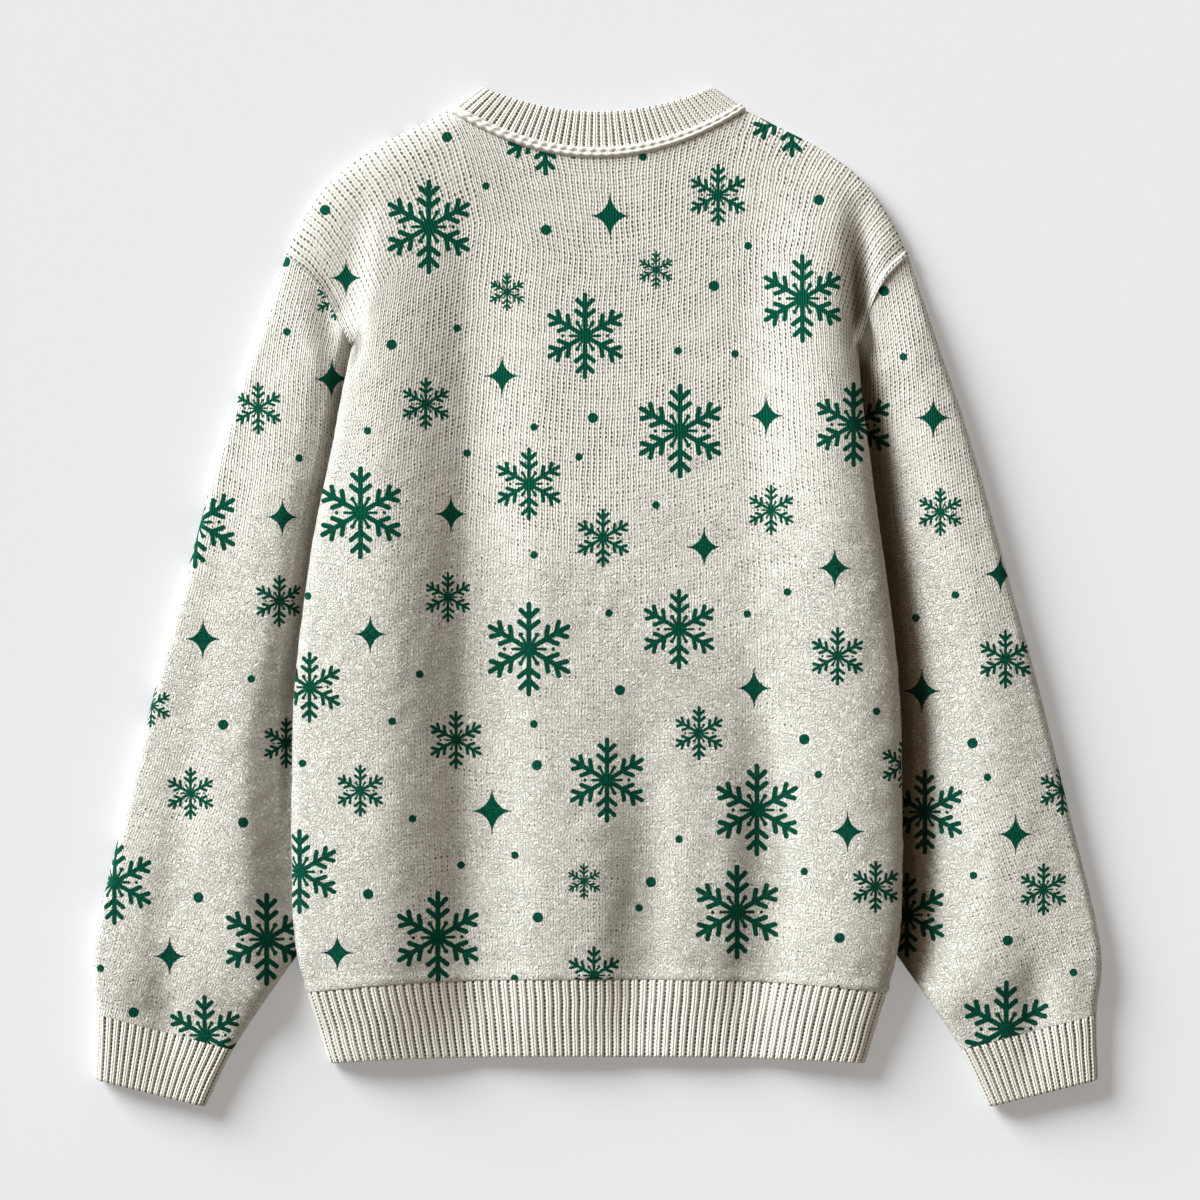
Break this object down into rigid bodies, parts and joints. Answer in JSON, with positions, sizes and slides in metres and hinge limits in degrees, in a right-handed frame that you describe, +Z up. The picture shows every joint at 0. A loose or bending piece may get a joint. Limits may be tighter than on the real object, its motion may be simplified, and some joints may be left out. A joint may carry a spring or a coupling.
{
  "type": "christmas sweater",
  "caption": "Crew-neck knitted pullover laid flat on its front, with ribbed neckband, cuffs and hem and the sleeves tucked a little under the body.",
  "frame": {"origin": "middle of the garment's footprint, on the surface that it lies on", "axes": "+Z up out of the garment's back, +Y towards the neck, +X towards the wearer's right sleeve"},
  "size_m": [0.735, 0.7434, 0.0316],
  "materials": {
    "jersey_knit": "brushed single jersey, cream with dark green snowflakes, stars and dots",
    "rib_knit": "ribbed knit, cream"
  },
  "bodies": {
    "root": {"back_panel": "jersey_knit", "front_panel": "jersey_knit", "sleeve_left": "jersey_knit", "sleeve_right": "jersey_knit", "hem_rib_back": "rib_knit", "hem_rib_front": "rib_knit", "cuff_left": "rib_knit", "cuff_right": "rib_knit", "neckband": "rib_knit"}
  },
  "joints": []
}
